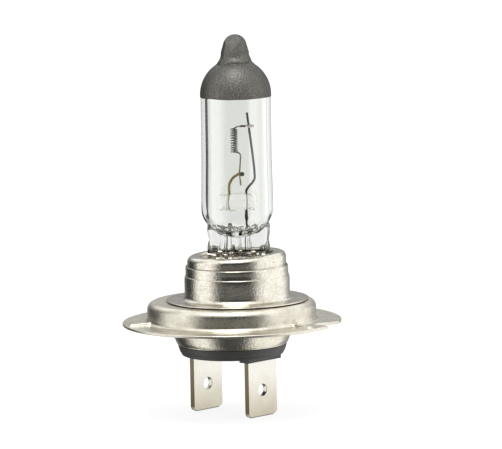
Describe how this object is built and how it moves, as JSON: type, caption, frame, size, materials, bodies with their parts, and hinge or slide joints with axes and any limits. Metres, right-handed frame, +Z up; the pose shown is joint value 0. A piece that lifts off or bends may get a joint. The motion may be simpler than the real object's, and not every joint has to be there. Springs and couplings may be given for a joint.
{
  "type": "headlight bulb",
  "caption": "Single-filament halogen headlight bulb: coated tubular glass on stepped sleeves, a flanged locating ring and two flat blade contacts.",
  "frame": {"origin": "where the lamp axis meets the reference plane, the plane through the flat tops of the three bosses on the ring flange", "axes": "+Z up the lamp axis from the base to the glass tip; +X from blade b to blade a, square to the flats of both blades; +Y along the width of the blades"},
  "size_m": [0.0332, 0.0332, 0.0577],
  "materials": {
    "lamp_glass": "clear gloss",
    "bridge_glass": "clear gloss",
    "coating": "dull dark grey with a fine metallic grain",
    "tungsten": "satin",
    "gilt_wire": "satin",
    "bright_wire": "polished",
    "lead_wire": "satin",
    "spring_steel": "satin",
    "sleeve_steel": "satin with fine grain",
    "ring_steel": "satin with fine grain",
    "shell_steel": "satin with fine grain",
    "insulator": "matte moulded",
    "plated_contact": "satin plated",
    "strip_metal": "satin"
  },
  "bodies": {
    "root": {"glass_envelope": "lamp_glass", "blackout_coating": "coating", "filament_coil": "tungsten", "upper_tail_pin": "tungsten", "lower_tail_pin": "gilt_wire", "lead_clamp": "bright_wire", "long_lead": "lead_wire", "short_lead": "gilt_wire", "glass_bridge": "bridge_glass", "pinch_clip": "spring_steel", "inner_sleeve": "sleeve_steel", "outer_sleeve": "sleeve_steel", "locating_ring": "ring_steel", "base_shell": "shell_steel", "insulator_body": "insulator", "contact_blade_a": "plated_contact", "contact_blade_b": "plated_contact", "contact_strip_a": "strip_metal", "contact_strip_b": "strip_metal"}
  },
  "joints": []
}
